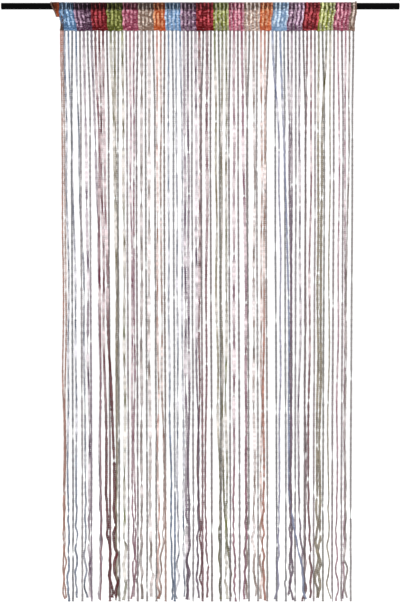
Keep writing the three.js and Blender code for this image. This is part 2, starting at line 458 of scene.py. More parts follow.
def stitch_chain(name, sizes):
    """A straight chain that hangs from the origin. Each leg is one tapered grain."""
    deselect()
    leg = sizes.pitch * LEG_LONG
    bpy.ops.mesh.primitive_uv_sphere_add(segments=4, ring_count=3, radius=0.5)
    chain = bpy.context.object
    chain.name = name
    chain.data.uv_layers[0].name = "stitches"
    bpy.ops.object.mode_set(mode="EDIT")
    bpy.ops.mesh.select_all(action="SELECT")
    bpy.ops.transform.resize(value=(sizes.width * LEG_WIDE, sizes.thick * LEG_THICK, leg))
    bpy.ops.transform.rotate(value=sizes.lean, orient_axis="Y", center_override=(0, 0, 0))
    bpy.ops.transform.translate(value=(sizes.width * LEG_ASIDE, 0, -leg / 2))
    bpy.ops.object.mode_set(mode="OBJECT")
    apply_modifier(chain, "MIRROR", use_axis=(True, False, False), use_mirror_merge=False)
    apply_modifier(
        chain,
        "ARRAY",
        count=sizes.stitches,
        use_relative_offset=False,
        use_constant_offset=True,
        constant_offset_displace=(0, 0, -sizes.pitch),
        offset_v=1,
    )
    bpy.ops.object.shade_smooth()
    deselect()
    return chain


def lay_chain(
    chain,
    path,
    front=None,
    turn=0,
    across=1,
    through=1,
    dye=1,
    shade=1,
    pale=0,
    mottle=2.5,
    seed=0,
):
    """A copy of a straight chain, bent along a path, with its own mesh.

    front is what the chain's face keeps towards, and without it the chain's width stays along X.
    All but chain, path, front and seed may vary along the path.
    """
    piece = chain.copy()
    piece.data = chain.data.copy()
    bpy.context.collection.objects.link(piece)
    mesh = piece.data
    points = np.empty(len(mesh.vertices) * 3)
    mesh.vertices.foreach_get("co", points)
    points = points.reshape(-1, 3)
    steps = np.linalg.norm(np.diff(path, axis=0), axis=1)
    reach = np.concatenate(([0], np.cumsum(steps)))
    top, foot = points[:, 2].max(), points[:, 2].min()
    down = (top - points[:, 2]) / (top - foot) * reach[-1]

    def read(values):
        return np.interp(down, reach, np.broadcast_to(values, reach.shape))

    tangent = np.gradient(path, reach, axis=0)
    tangent = np.stack([read(tangent[:, i]) for i in range(3)], 1)
    tangent /= np.linalg.norm(tangent, axis=1, keepdims=True)
    if front is None:
        side = np.array([1.0, 0, 0]) - tangent * tangent[:, :1]
    else:
        side = np.cross(tangent, np.asarray(front, float))
    side /= np.linalg.norm(side, axis=1, keepdims=True)
    out = np.cross(side, tangent)
    angle = read(turn)[:, None]
    wide = np.cos(angle) * side + np.sin(angle) * out
    deep = np.cos(angle) * out - np.sin(angle) * side
    centre = np.stack([read(path[:, i]) for i in range(3)], 1)
    laid = centre + wide * (points[:, 0] * read(across))[:, None]
    laid += deep * (points[:, 1] * read(through))[:, None]
    mesh.vertices.foreach_set("co", laid.ravel())
    looks = {"dye": dye, "shade": shade, "pale": pale, "mottle": mottle}
    for label, values in looks.items():
        layer = mesh.attributes.new(label, "FLOAT", "POINT")
        layer.data.foreach_set("value", read(values).astype(np.float32))
    uvs = np.empty(len(mesh.loops) * 2, np.float32)
    mesh.uv_layers[0].data.foreach_get("uv", uvs)
    uvs[1::2] += SEED_STEP * seed
    mesh.uv_layers[0].data.foreach_set("uv", uvs)
    mesh.update()
    return piece


def join(name, pieces, material):
    """The pieces as one, in one material."""
    deselect()
    for piece in pieces:
        piece.select_set(True)
    bpy.context.view_layer.objects.active = pieces[0]
    if len(pieces) > 1:
        bpy.ops.object.join()
    joined = bpy.context.view_layer.objects.active
    joined.name = name
    joined.data.name = name
    joined.data.materials.clear()
    joined.data.materials.append(material)
    deselect()
    return joined


# ---------------------------------------------------------------- strings

STRING_SEED = 4100
PATH_STEP = 0.004

# How far strings wander sideways: slowly, and more so lower down; finely, and more so near the end;
# and with a sway and a last hook near the end. out and out_loose are how far they go forwards and
# back, all along and near the end.
Wander = namedtuple("Wander", "slow slow_low fine fine_loose sway hook out out_loose")
STEADY_WANDER = Wander(0.0003, 0, 0.0001, 0, 0.0005, 0, 0.0003, 0.0004)
FREE_WANDER = Wander(0.0011, 0.0012, 0.0003, 0.0008, 0.0038, 0.006, 0.001, 0.0025)

# The shortest and longest waves of each kind.
SLOW_WAVES = (0.35, 0.7)
FINE_WAVES = (0.03, 0.07)
SWAY_WAVES = (0.07, 0.15)
OUT_WAVES = (0.2, 0.5)
LOOSE_OUT_WAVES = (0.08, 0.15)

# The depth at which each kind has set in, and where the slow kind starts to grow and over how much.
SLOW_SETTLE = 0.3
FINE_SETTLE = 0.1
OUT_SETTLE = 0.2
SLOW_GROWS = (0.9, 0.4)

# How high above its end a string starts to hang loose, the length over which it does so, and the
# length of the hook at its end.
LOOSE_FROM = 0.48
LOOSE_OVER = 0.42
HOOK_LONG = 0.022

# The length of string in a curl, how much taller than wide a curl is, and how far it stands out.
CURL_LONG = 0.024
CURL_TALL = 1.6
CURL_OUT = 0.0016

# Least and most of each: the length that lies face on, the length in which a string turns, how far
# it turns towards edge on, and the length that it stays so. Calm strings turn less, and strings
# more than TURN_CALM down do as steady ones do.
STEADY_FACE_ON = (0.15, 0.45)
FREE_FACE_ON = (0.08, 0.3)
TURNING = (0.014, 0.04)
EDGE_ON = (1.0, 1.4)
EDGE_STAY = (0.01, 0.05)
CALM_EDGE_ON = 0.7
TURN_CALM = 1.25

# How much a turn may differ either way: when face on, while it stays edge on, and face on again.
FACE_STRAY = 0.5
EDGE_STRAY = 0.1
RETURN_STRAY = 0.3

# Parts of a string: where each starts below the hem, and the length over which it sets in or goes.
# Down to ROOTED a string is thicker, and down to FRESH it has more of its dye. LOW_DOWN it lies
# wider. Its last loop is ENDING long.
ROOTED = (0.01, 0.07)
FRESH = (0.01, 0.28)
LOW_DOWN = (1.4, 0.3)
ENDING = 0.03
TURNS_FROM = 0.05

# How high a crease is, how far from its depth it may lie, how strong it is, and how much narrower
# it makes a string.
CREASE_HIGH = 0.0055
CREASE_STRAY = 0.003
CREASE_STRENGTH = (0.3, 1)
CREASE_NARROWS = 0.33

# The least and most dye that a string shows, how washed out it is, and its tone. A steady string's
# low tone gives it its grey and is partly painted shade, as it hangs in shade. A free string's dye
# is a share of what its block has kept.
STEADY_DYE = (0.15, 0.6)
STEADY_WORN = (0.6, 0.95)
STEADY_TONE = (0.3, 0.4)
STEADY_WIDE = 0.98
FREE_DYE = (0.4, 1.6)
FREE_WORN = (0.2, 0.6)
FREE_TONE = (0.85, 1.2)

# How uneven a free string's dye and wear are, and its faint stretches: their waves, what part of
# a wave is faint, and how washed out that is.
DYE_WAVES = (0.1, 0.5)
DYE_UNEVEN = 0.6
WORN_WAVES = (0.06, 0.3)
FAINT_WAVES = (0.15, 0.5)
FAINT_FROM = (0.25, 0.3)
FAINT_WORN = 0.45

# How much less worn a free string is at its root and low down, how much less pale it is edge on,
# since the paleness it shows face on is partly painted light that the flat string catches, the most
# pale it is, and how much wider its wear makes it.
ROOT_SPARES = 0.4
LOW_SPARES = 0.2
FACE_ON_PAINTED_LIGHT = 0.5
MOST_WORN = 0.9
WORN_WIDENS = 0.4

# From where and over how much a free string has kept more dye, and how much more.
DYED_FROM = (0.9, 0.6)
DYED_MORE = 0.5

# How early and over how much a bright string starts to stand out, its tone, and how washed out it
# is without any dye.
BRIGHT_EARLY = 0.3
BRIGHT_OVER = 0.4
BRIGHT_TONE = 0.95
BRIGHT_WORN = 0.2

# How much more dye the fresh part has, how much less worn and how much darker it is, the dye of
# every string in the hem and where that ends, and how much darker a string is edge on, as painted
# shade.
FRESH_DYE = 0.5
FRESH_SPARES = 0.4
FRESH_DARK = 0.12
HEM_DYE = 0.8
HEM_DYE_ENDS = 0.012
EDGE_DARK = 0.25

# How uneven a string's tone is, in fine waves and in broad ones, which set in lower down.
FINE_TONE_WAVES = (0.014, 0.04)
FINE_TONE = 0.18
BROAD_TONE_WAVES = (0.08, 0.2)
BROAD_TONE = 0.16
BROAD_TONE_FROM = (0.7, 0.5)

# How uneven a string's width is, how much wider it lies from halfway on and low down, and how much
# thicker it is at its root and at its end.
WIDTH_WAVES = (0.012, 0.03)
WIDTH_UNEVEN = 0.16
HALFWAY = (0.6, 0.3)
HALFWAY_WIDER = 0.03
LOW_WIDER = 0.09
ROOT_THICKER = 0.3
END_THICKER = 0.3

STRING_MOTTLE = 0.8

steady_place = {}
for k in range(STEADY_COUNT):
    number = round(STEADY_FIRST + STEADY_STEP * k)
    if number not in DRIFTS:
        steady_place[number] = STEADY_LEFT + STEADY_SPACING * k


def string_top(number):
    if number < len(END_PAIR):
        return END_PAIR[number]
    return FIRST_TOP + (number - len(END_PAIR)) * STRING_PITCH


def string_length(number):
    wave = math.sin(number * 2.3) * math.sin(number * 0.71)
    return STRING_LENGTH - (0 if number in steady_place else RAGGED * (1 + wave))


def string_drift(number, depth):
    """How far across from its top a string hangs."""
    if number in steady_place:
        aslant = eased(number, list(ASLANT), list(ASLANT.values()))
        shift = steady_place[number] + aslant - string_top(number)
        hung = onset(depth, STEADY_SETTLE, STEADY_PLUMB - STEADY_SETTLE)
        return shift * ease(depth / STEADY_SETTLE) - aslant * hung
    if number not in DRIFTS:
        return np.zeros_like(depth)
    return eased(depth, LEVELS, [0] + [shift / 1000 for shift in DRIFTS[number]])


def waves(rng, depth, shortest, longest):
    """A gentle wander either way, at most about 1, without a regular beat."""
    total = np.zeros_like(depth)
    for _ in range(3):
        length = rng.uniform(shortest, longest)
        total += np.sin(math.tau * (depth / length + rng.random()))
    return total / 2


def string_path(number, rng):
    """The string's line from its root in the hem to its end, with its wander and any curl."""
    length = string_length(number)
    depth = np.arange(0, length + PATH_STEP / 2, PATH_STEP)
    steady = number in steady_place
    wander = STEADY_WANDER if steady else FREE_WANDER
    loose = onset(depth - length, -LOOSE_FROM, LOOSE_OVER)
    slow = wander.slow + wander.slow_low * onset(depth, *SLOW_GROWS)
    fine = wander.fine + wander.fine_loose * loose
    x = string_top(number) + string_drift(number, depth)
    x += waves(rng, depth, *SLOW_WAVES) * slow * ease(depth / SLOW_SETTLE)
    x += waves(rng, depth, *FINE_WAVES) * fine * ease(depth / FINE_SETTLE)
    x += waves(rng, depth, *SWAY_WAVES) * wander.sway * loose
    hook = 0 if steady else rng.uniform(-wander.hook, wander.hook)
    x += hook * onset(depth - length, -HOOK_LONG, HOOK_LONG)
    side = 1 if number % 2 else -1
    y = np.zeros_like(depth) if steady else side * LAYER * ease(depth / SETTLE)
    y += waves(rng, depth, *OUT_WAVES) * wander.out * ease(depth / OUT_SETTLE)
    y += waves(rng, depth, *LOOSE_OUT_WAVES) * wander.out_loose * loose
    z = HEM_FOOT - depth
    if number in CURLS:
        curl = CURLS[number]
        round_ = np.clip((depth - curl.start) / CURL_LONG, 0, 1) * math.tau
        x += curl.wide * np.sin(round_)
        z += CURL_TALL * curl.wide * (1 - np.cos(round_))
        y += CURL_OUT * np.sin(round_ / 2)
    path = np.stack([x, y, z], 1)
    root = [[x[0], 0, HEM_FOOT + STRING_ROOT]]
    return np.concatenate((root, path))


def string_turning(rng, depth, steady, calm):
    """How far the flat string has turned at each depth: it lies face on, then nearly edge on."""
    stops = [0]
    turns = [0]
    half_turns = 0
    while stops[-1] < depth[-1]:
        stops.append(stops[-1] + rng.uniform(*(STEADY_FACE_ON if steady else FREE_FACE_ON)))
        turns.append(half_turns * math.pi + rng.uniform(-FACE_STRAY, FACE_STRAY))
        brief = calm or steady or stops[-1] > TURN_CALM
        edge_on = EDGE_ON[0] if brief else rng.uniform(*EDGE_ON)
        edge_on = CALM_EDGE_ON if calm else edge_on
        stay = EDGE_STAY[0] if brief else rng.uniform(*EDGE_STAY)
        way = rng.choice((-1, 1))
        stops.append(stops[-1] + rng.uniform(*TURNING))
        turns.append(half_turns * math.pi + way * edge_on)
        stops.append(stops[-1] + stay)
        turns.append(turns[-1] + rng.uniform(-EDGE_STRAY, EDGE_STRAY))
        half_turns += way * int(rng.integers(0, 2))
        stops.append(stops[-1] + rng.uniform(*TURNING))
        turns.append(half_turns * math.pi + rng.uniform(-RETURN_STRAY, RETURN_STRAY))
    return eased(depth, stops, turns)


def crease_marks(rng, depth):
    """How strongly a string is creased at each depth."""
    creased = np.zeros_like(depth)
    for crease in CREASES:
        where = crease + rng.uniform(-CREASE_STRAY, CREASE_STRAY)
        creased += rng.uniform(*CREASE_STRENGTH) * bell(depth, where, CREASE_HIGH)
    return creased


def steady_looks(rng):
    """How much dye a steady string shows, its width, how washed out it is, and its tone, whose
    darkness is partly painted shade.
    """
    dye = rng.uniform(*STEADY_DYE)
    paleness = rng.uniform(*STEADY_WORN)
    tone = rng.uniform(*STEADY_TONE)
    return dye, STEADY_WIDE, paleness, tone


def free_looks(rng, depth, block, rooted, low_down, edge_on):
    """The same of a free string, whose paleness is partly painted light, less where it lies edge
    on. All but its tone vary along it.
    """
    dye = block.kept * rng.uniform(*FREE_DYE)
    dye = dye * (1 + DYE_UNEVEN * waves(rng, depth, *DYE_WAVES))
    tone = rng.uniform(*FREE_TONE)
    faint = onset(waves(rng, depth, *FAINT_WAVES), *FAINT_FROM)
    paleness = rng.uniform(*FREE_WORN) * (1 + waves(rng, depth, *WORN_WAVES)) + FAINT_WORN * faint
    paleness = paleness * (1 - ROOT_SPARES * rooted) * (1 - LOW_SPARES * low_down)
    wide = block.body * (1 + WORN_WIDENS * paleness)
    # A string is less pale edge on: its paleness face on is partly painted light.
    paleness = np.clip(paleness * (1 - FACE_ON_PAINTED_LIGHT * edge_on), 0, MOST_WORN)
    dye = dye * (1 + DYED_MORE * onset(depth, *DYED_FROM))
    return dye, wide, paleness, tone


def string_piece(chain, number, block):
    rng = np.random.default_rng(STRING_SEED + number)
    path = string_path(number, rng)
    depth = HEM_FOOT - path[:, 2]
    steady = number in steady_place
    turn = string_turning(rng, np.maximum(depth - TURNS_FROM, 0), steady, number in BRIGHT)
    creased = crease_marks(rng, depth)
    uneven = waves(rng, depth, *WIDTH_WAVES)
    edge_on = np.abs(np.sin(turn))
    rooted = 1 - onset(depth, *ROOTED)
    ending = onset(depth - depth[-1], -ENDING, ENDING)
    low_down = onset(depth, *LOW_DOWN)
    if steady:
        dye, wide, paleness, tone = steady_looks(rng)
    else:
        dye, wide, paleness, tone = free_looks(rng, depth, block, rooted, low_down, edge_on)
    if number in BRIGHT:
        bright = BRIGHT[number]
        shown = onset(depth, bright.start - BRIGHT_EARLY, BRIGHT_OVER)
        dye = dye + (bright.dye - dye) * shown
        wide = wide + (bright.wide - wide) * shown
        tone = tone + (BRIGHT_TONE - tone) * shown
        paleness = paleness + (BRIGHT_WORN * (1 - bright.dye) - paleness) * shown
    fresh = 1 - onset(depth, *FRESH)
    dye = dye + FRESH_DYE * fresh
    dye = dye + (HEM_DYE - dye) * (1 - ease(depth / HEM_DYE_ENDS))
    paleness = paleness * (1 - FRESH_SPARES * fresh)
    # Darker edge on: painted shade.
    tone = tone * (1 - FRESH_DARK * fresh - EDGE_DARK * edge_on)
    tone = tone * (1 - FINE_TONE * waves(rng, depth, *FINE_TONE_WAVES))
    broad = waves(rng, depth, *BROAD_TONE_WAVES)
    tone = tone * (1 + BROAD_TONE * broad * onset(depth, *BROAD_TONE_FROM))
    spread = 1 + HALFWAY_WIDER * onset(depth, *HALFWAY) + LOW_WIDER * low_down
    return lay_chain(
        chain,
        path,
        front=(0, 1, 0),
        turn=turn,
        across=wide * spread * (1 + WIDTH_UNEVEN * uneven) * (1 - CREASE_NARROWS * creased),
        through=1 + ROOT_THICKER * rooted + END_THICKER * ending,
        dye=dye,
        shade=tone,
        pale=paleness,
        mottle=STRING_MOTTLE,
        seed=number,
    )


# ---------------------------------------------------------------- band over the rod

# The band's sheet: how thick it is, how far it clears the rod, the radius of its middle there, how
# far round each side it goes before it hangs, and how far it then bulges.
BAND_SHEET = 0.0015
BAND_CLEAR = 0.0003
BAND_RADIUS = ROD_RADIUS + BAND_CLEAR + BAND_SHEET / 2
BAND_WRAP = math.radians(100)
BAND_BULGE = 0.0015

# How far the ribs lean out on their way up, in millimetres at some of the strings, and how soon.
LEAN_SOON = 1.2
LEAN = {0: 0, 1.6: -4, 2: -12, 6: -9, 10: -3, 16: 0, 50: 0, 58: 8, 78: 9}

# The share of its brightness that the band keeps where it lies over the black rod, at some of the
# strings: painted shade, as no light comes through the yarn there, deepest near the band's left
# end.
OVER_ROD_PAINTED_LIGHT = {0: 0.45, 5: 0.3, 8: 0.17, 16: 0.25, 34: 0.3, 46: 0.45, 56: 0.47, 78: 0.5}

# The height from which the band lies on the rod and the y from which it is at the back, and over
# how much each sets in. Then the height of what is just under the rod, and its reach.
ON_ROD = (-0.02, 0.01)
BEHIND = (-0.001, 0.004)
UNDER_ROD = (-0.019, 0.006)

# How near to the hem a rib starts to widen, and over which height it does so.
NEAR_HEM = 0.004
WIDENS_OVER = 0.006

# The ribs: how far below the hem they end, and how far out from the band's sheet they lie.
RIB_SEED = 700
RIB_FEET = (0.0008, 0.0042)
RIB_OUT = 0.0004
SLACK_OUT = (0.0009, 0.0016)

# How far they step aside above the hem, and how soon. Those of the close pair are all but hidden.
RIB_ASIDE = (-0.002, 4)
HIDDEN_ASIDE = (0.003, 3)
HIDDEN_WIDE = 0.6
HIDDEN_SHADE = 0.4
HIDDEN_DYE = 0.1

# How far they stray sideways, how far they do at the back, and how far they wave.
RIB_STRAY = 0.0009
BACK_STRAY = 0.006
RIB_WAVES = (0.016, 0.05)
RIB_WAVE = 0.0015
SLACK_WAVE = 0.0022

# Their width: least and most, how much narrower they are drawn over the rod at its left end, how
# much wider they are in the hem, at the back and under the rod, and how uneven they are.
RIB_WIDE = (0.88, 1.1)
RIB_DRAWN = 0.5
RIB_IN_HEM = 0.12
RIB_BEHIND = 0.7
RIB_UNDER_ROD = 0.2
RIB_UNEVEN = 0.2
UNEVEN_WAVES = (0.01, 0.02)

# Their tone: least and most, how uneven it is, how much of the band's painted light over the rod
# ribs keep and slack ones do, which leaves tight ribs in deeper painted shade there, and how much
# their block's brightness, which is painted light, counts in slack ones.
RIB_TONE = (0.85, 1.12)
RIB_TONE_UNEVEN = 0.12
RIB_OVER_ROD_LIGHT = 0.8
SLACK_OVER_ROD_LIGHT = 1.9
SLACK_BRIGHT = 0.3

# How lit slack ribs are, a painted highlight: from where, how much less over the rod towards the
# band's left end, least and most, and how it varies, in fine and broad waves.
LIT_FROM = (HEM_TOP - 0.002, 0.008)
LIT_LESS = 0.3
SLACK_LIGHT = (0.3, 1.0)
FINE_LIGHT_WAVES = (0.012, 0.03)
FINE_LIGHT = 0.45
BROAD_LIGHT_WAVES = (0.03, 0.08)
BROAD_LIGHT = 0.3

# The stitches of the hem between the strings: how far out they lie, where they start and end, their
# width at top and foot, their dye and the painted highlight that a bright block adds to it, and
# their tone, which takes the block's painted light.
HEM_SEED = 300
HEM_OUT = 0.0014
HEM_ABOVE = 0.003
HEM_FEET = (-0.0018, 0.0006)
HEM_WIDE = (0.9, 1.0)
HEM_STITCH_DYE = (0.6, 1.5)
HEM_BRIGHT_DYE = 0.45
HEM_TONE = (0.75, 1.2)

# The loose left end of the band, turned out over the rod: where its ribs' feet and tops start, and
# how far they spread from there, from left to right. Then how bright each of its ribs is, how far
# it lies out and waves, how much narrower it is at its foot, and how dark it is over the rod, as
# painted shade: the first rib, how much less the last is, and from where.
FLAP_SEED = 900
FLAP_FOOT = -0.036
FLAP_FEET = (-0.4815, 0.0045)
FLAP_TOPS = (-0.499, 0.0205)
FLAP_SHADES = (0.5, 1, 0.55, 0.9)
FLAP_OUT = 0.0009
FLAP_WAVES = (0.018, 0.05)
FLAP_WAVE = 0.0008
FLAP_NARROWS = 0.25
FLAP_DARK = 0.92
FLAP_DARK_LESS = 0.45
FLAP_DARK_FROM = (-0.028, 0.02)

# The cords along the band's ends: where they are at the foot and on top of the rod, how far out
# they lie, and how knobbly they are: by how much, and how many points of their line apart.
LEFT_CORD = (-0.4845, -0.502)
RIGHT_CORD = (0.517, 0.5235)
KNOT_PLACE = 0.523
CORD_OUT = 0.0012
KNOBBLY = 0.25
KNOBS_APART = 5

# The open net: its meshes to each string, how tall they are, how far their corners swing sideways
# and stray up or down, and how thick its cords are, with the share left where they are thinnest.
NET_SEED = 55
NET_TO_STRING = 3
NET_TALL = 0.0085
NET_SWING = 0.0009
NET_STRAY = 0.0012
NET_CORD = 0.0016
NET_THINNEST = 0.1

# How much thinner the net is drawn over the rod at its left end, how much less so at its right, how
# much of the band's painted light over the rod it keeps, which leaves it in painted shade there,
# how many strings before its first a block's dye starts, how fine its light and its weave are, and
# how much the weave changes its tone.
NET_DRAWN = 0.6
NET_DRAWN_LESS = 0.55
NET_OVER_ROD_LIGHT = 0.6
NET_EDGE = 1.8
NET_LATE_EDGE = 1.3
NET_LIGHT = (300, 9)
NET_WEAVE = 900
NET_TONE = 0.4


def band_line(out=0.0, foot=HEM_TOP, points=72):
    """Points (y, z) round the band from its front foot over the rod to its back foot."""
    radius = BAND_RADIUS + out
    half = BAND_SHEET / 2 + out
    edge_y = radius * math.sin(BAND_WRAP)
    edge_z = radius * math.cos(BAND_WRAP)
    fall = np.linspace(1, 0, points // 3, endpoint=False)
    y = -(edge_y + (half - edge_y) * fall + BAND_BULGE * np.sin(math.pi * fall))
    z = edge_z + (foot - edge_z) * fall
    angle = np.linspace(-BAND_WRAP, BAND_WRAP, points // 3)
    over_y = radius * np.sin(angle)
    over_z = radius * np.cos(angle)
    return np.concatenate((y, over_y, -y[::-1])), np.concatenate((z, over_z, z[::-1]))


def lean(number):
    """How far out a rib has leant where it crosses the top of the rod."""
    return eased(number, list(LEAN), [millimetres / 1000 for millimetres in LEAN.values()])


def across_band(number):
    """The place in the hem of a string, or of a point between two strings."""
    return np.interp(number, range(STRING_COUNT), [string_top(n) for n in range(STRING_COUNT)])


def band_rise(z):
    """The share of its lean that a rib has at height z."""
    return ease(LEAN_SOON * (z - HEM_FOOT) / (BAND_RADIUS - HEM_FOOT))


def over_rod(z):
    """0 below the rod and 1 where the band lies on it."""
    return onset(z, *ON_ROD)


# The share of brightness the band keeps over the rod at a string: painted shade.
def over_rod_painted_light(number):
    return np.interp(number, list(OVER_ROD_PAINTED_LIGHT), list(OVER_ROD_PAINTED_LIGHT.values()))


# Slack ribs take less of their block's painted light than tight ones do.
def slack_brightness(block):
    return 1 - SLACK_BRIGHT + SLACK_BRIGHT * block.bright


def rib_piece(chain, number, block, slack=False):
    """A rib from the front of the hem over the rod to its back. Slack ones lie between strings."""
    rng = np.random.default_rng(RIB_SEED + round(number * 10))
    hidden = number < len(END_PAIR)
    foot = HEM_FOOT - rng.uniform(*RIB_FEET)
    y, z = band_line(out=rng.uniform(*SLACK_OUT) if slack else RIB_OUT, foot=foot)
    rise = np.clip((z - HEM_FOOT) / (BAND_RADIUS - HEM_FOOT), 0, 1)
    free = np.sin(math.pi * rise)
    behind = onset(y, *BEHIND)
    x = across_band(number) + lean(number) * band_rise(z)
    aside, soon = HIDDEN_ASIDE if hidden else RIB_ASIDE
    x += aside * ease(rise * soon)
    x += rng.uniform(-RIB_STRAY, RIB_STRAY) * free
    x += behind * rng.uniform(-BACK_STRAY, BACK_STRAY) * free
    x += waves(rng, z + y, *RIB_WAVES) * (SLACK_WAVE if slack else RIB_WAVE) * free
    over = over_rod(z)
    drawn = 1 - number / STRING_COUNT
    in_hem = ease((HEM_TOP + NEAR_HEM - z) / WIDENS_OVER)
    under_rod = bell(z, *UNDER_ROD)
    across = 1 - RIB_DRAWN * drawn * over + RIB_IN_HEM * in_hem
    across = across * rng.uniform(*RIB_WIDE)
    across = across * (1 + RIB_UNEVEN * waves(rng, z + y, *UNEVEN_WAVES))
    across = across * (1 + RIB_BEHIND * behind + RIB_UNDER_ROD * under_rod)
    # Over the rod the ribs are darker, painted shade; a block's brightness is painted light.
    left = min(1, over_rod_painted_light(number) * (SLACK_OVER_ROD_LIGHT if slack else RIB_OVER_ROD_LIGHT))
    shade = rng.uniform(*RIB_TONE) * (1 - (1 - left) * over)
    dye = np.ones_like(z)
    pale = 0
    if hidden:
        across = across * HIDDEN_WIDE
        shade = shade * HIDDEN_SHADE
        dye = dye * HIDDEN_DYE
    elif slack:
        lit = onset(z, *LIT_FROM) * (1 - LIT_LESS * over * drawn)
        light = rng.uniform(*SLACK_LIGHT) + FINE_LIGHT * waves(rng, z - y, *FINE_LIGHT_WAVES)
        light = light + BROAD_LIGHT * waves(rng, z - y, *BROAD_LIGHT_WAVES)
        # Dye over 1 is the lit colour: painted highlight, less over the rod.
        dye = dye + lit * np.clip(light, 0, 1)
        pale = block.wash
        shade = shade * slack_brightness(block)
    else:
        shade = shade * block.bright
    shade = shade * (1 + RIB_TONE_UNEVEN * waves(rng, z - y, *UNEVEN_WAVES))
    path = np.stack([x, y, z], 1)
    return lay_chain(
        chain, path, across=across, dye=dye, shade=shade, pale=pale, seed=number + 90
    )


def hem_filler(chain, number, bright):
    """Short stitches that close the hem between one string and the next."""
    rng = np.random.default_rng(HEM_SEED + number)
    x = (string_top(number) + string_top(number - 1)) / 2
    wide = (string_top(number) - string_top(number - 1)) / STRING_PITCH
    foot = HEM_FOOT + rng.uniform(*HEM_FEET)
    front = np.array([[x, -HEM_OUT, HEM_TOP + HEM_ABOVE], [x, -HEM_OUT, foot]])
    return lay_chain(
        chain,
        front,
        across=wide * np.array(HEM_WIDE),
        dye=rng.uniform(*HEM_STITCH_DYE) + HEM_BRIGHT_DYE * (bright - 1),
        shade=bright * rng.uniform(*HEM_TONE),
        seed=number + 200,
    )


def flap_piece(chain, place):
    """One rib of the band's loose left end. place is 0 to 1."""
    rng = np.random.default_rng(FLAP_SEED + round(place * 10))
    y, z = band_line(out=FLAP_OUT, foot=FLAP_FOOT)
    rise = ease((z - FLAP_FOOT) / (BAND_RADIUS - FLAP_FOOT))
    foot, top = (start + spread * place for start, spread in (FLAP_FEET, FLAP_TOPS))
    x = foot + (top - foot) * rise
    x += waves(rng, z + y, *FLAP_WAVES) * FLAP_WAVE
    path = np.stack([x, y, z], 1)
    across = 1 - FLAP_NARROWS + FLAP_NARROWS * rise
    # Darker over the rod: painted shade.
    dark = (FLAP_DARK - FLAP_DARK_LESS * place) * onset(z, *FLAP_DARK_FROM)
    shade = FLAP_SHADES[round(place * 3)] * (1 - dark)
    return lay_chain(chain, path, across=across, shade=shade, seed=round(place * 50))


def edge_cord(chain, foot, places):
    """The knobbly cord along an end of the band, from its foot to where it lies on the rod."""
    y, z = band_line(out=CORD_OUT, foot=foot)
    rise = ease((z - foot) / (BAND_RADIUS - foot))
    x = places[0] + (places[1] - places[0]) * rise
    path = np.stack([x, y, z], 1)
    uneven = 1 + KNOBBLY * np.sin(math.tau * np.arange(len(z)) / KNOBS_APART)
    return lay_chain(chain, path, across=0.62 * uneven, through=1.7 * uneven, shade=0.72, seed=7)


def edge_knot(chain, x):
    """A small knot on the rod: a chain wound once and a half round itself."""
    wind = np.linspace(0, 3 * math.pi, 16)
    y = -0.004 + 0.0022 * np.cos(wind)
    z = BAND_RADIUS + 0.0016 + 0.0012 * np.sin(wind)
    path = np.stack([x - 0.002 + 0.004 * wind / wind[-1], y, z], 1)
    return lay_chain(chain, path, across=0.5, through=1.3, shade=0.85, seed=3)


def net_piece():
    """The open net between the ribs, one sheet from the front of the hem to the back."""
    deselect()
    columns = NET_TO_STRING * (STRING_COUNT - 1)
    y, z = band_line()
    steps = np.hypot(np.diff(y), np.diff(z))
    reach = np.concatenate(([0], np.cumsum(steps)))
    rows = round(reach[-1] / NET_TALL)
    bpy.ops.mesh.primitive_grid_add(x_subdivisions=columns, y_subdivisions=rows, size=1)
    net = bpy.context.object
    net.name = "band_net"
    mesh = net.data
    mesh.uv_layers[0].name = "stitches"
    points = np.empty(len(mesh.vertices) * 3)
    mesh.vertices.foreach_get("co", points)
    points = points.reshape(-1, 3)
    column = np.round((points[:, 0] + 0.5) * columns)
    row = np.round((points[:, 1] + 0.5) * rows)
    at = (points[:, 1] + 0.5) * reach[-1]
    ny, nz = np.interp(at, reach, y), np.interp(at, reach, z)
    share = column / columns
    string = 1 + share * (STRING_COUNT - 2)
    rng = np.random.default_rng(NET_SEED)
    slack = rng.uniform(-1, 1, len(points)) * NET_SWING
    swing = np.where(row % 2 == 0, NET_SWING, -NET_SWING)
    x = across_band(string) + lean(string) * band_rise(nz) + swing + slack
    nz += rng.uniform(-1, 1, len(points)) * NET_STRAY * (np.abs(nz) > BAND_RADIUS)
    mesh.vertices.foreach_set("co", np.stack([x, ny, nz], 1).ravel())
    mesh.update()
    group = net.vertex_groups.new(name="slack")
    for index, weight in enumerate(1 - (NET_DRAWN - NET_DRAWN_LESS * share) * over_rod(nz)):
        group.add([index], float(weight), "REPLACE")
    apply_modifier(
        net,
        "WIREFRAME",
        thickness=NET_CORD,
        use_even_offset=False,
        vertex_group="slack",
        thickness_vertex_group=NET_THINNEST,
    )
    net.vertex_groups.clear()
    points = np.empty(len(mesh.vertices) * 3)
    mesh.vertices.foreach_get("co", points)
    x, z = points[::3], points[2::3]
    string = np.interp(x, across_band(np.arange(STRING_COUNT)), np.arange(STRING_COUNT))
    # Darker over the rod: painted shade, kept in the shade attribute.
    dark = 1 - (1 - NET_OVER_ROD_LIGHT * over_rod_painted_light(string)) * over_rod(z)
    shade = mesh.attributes.new("shade", "FLOAT", "POINT")
    shade.data.foreach_set("value", dark.astype(np.float32))
    bpy.ops.object.shade_smooth()
    deselect()
    return net


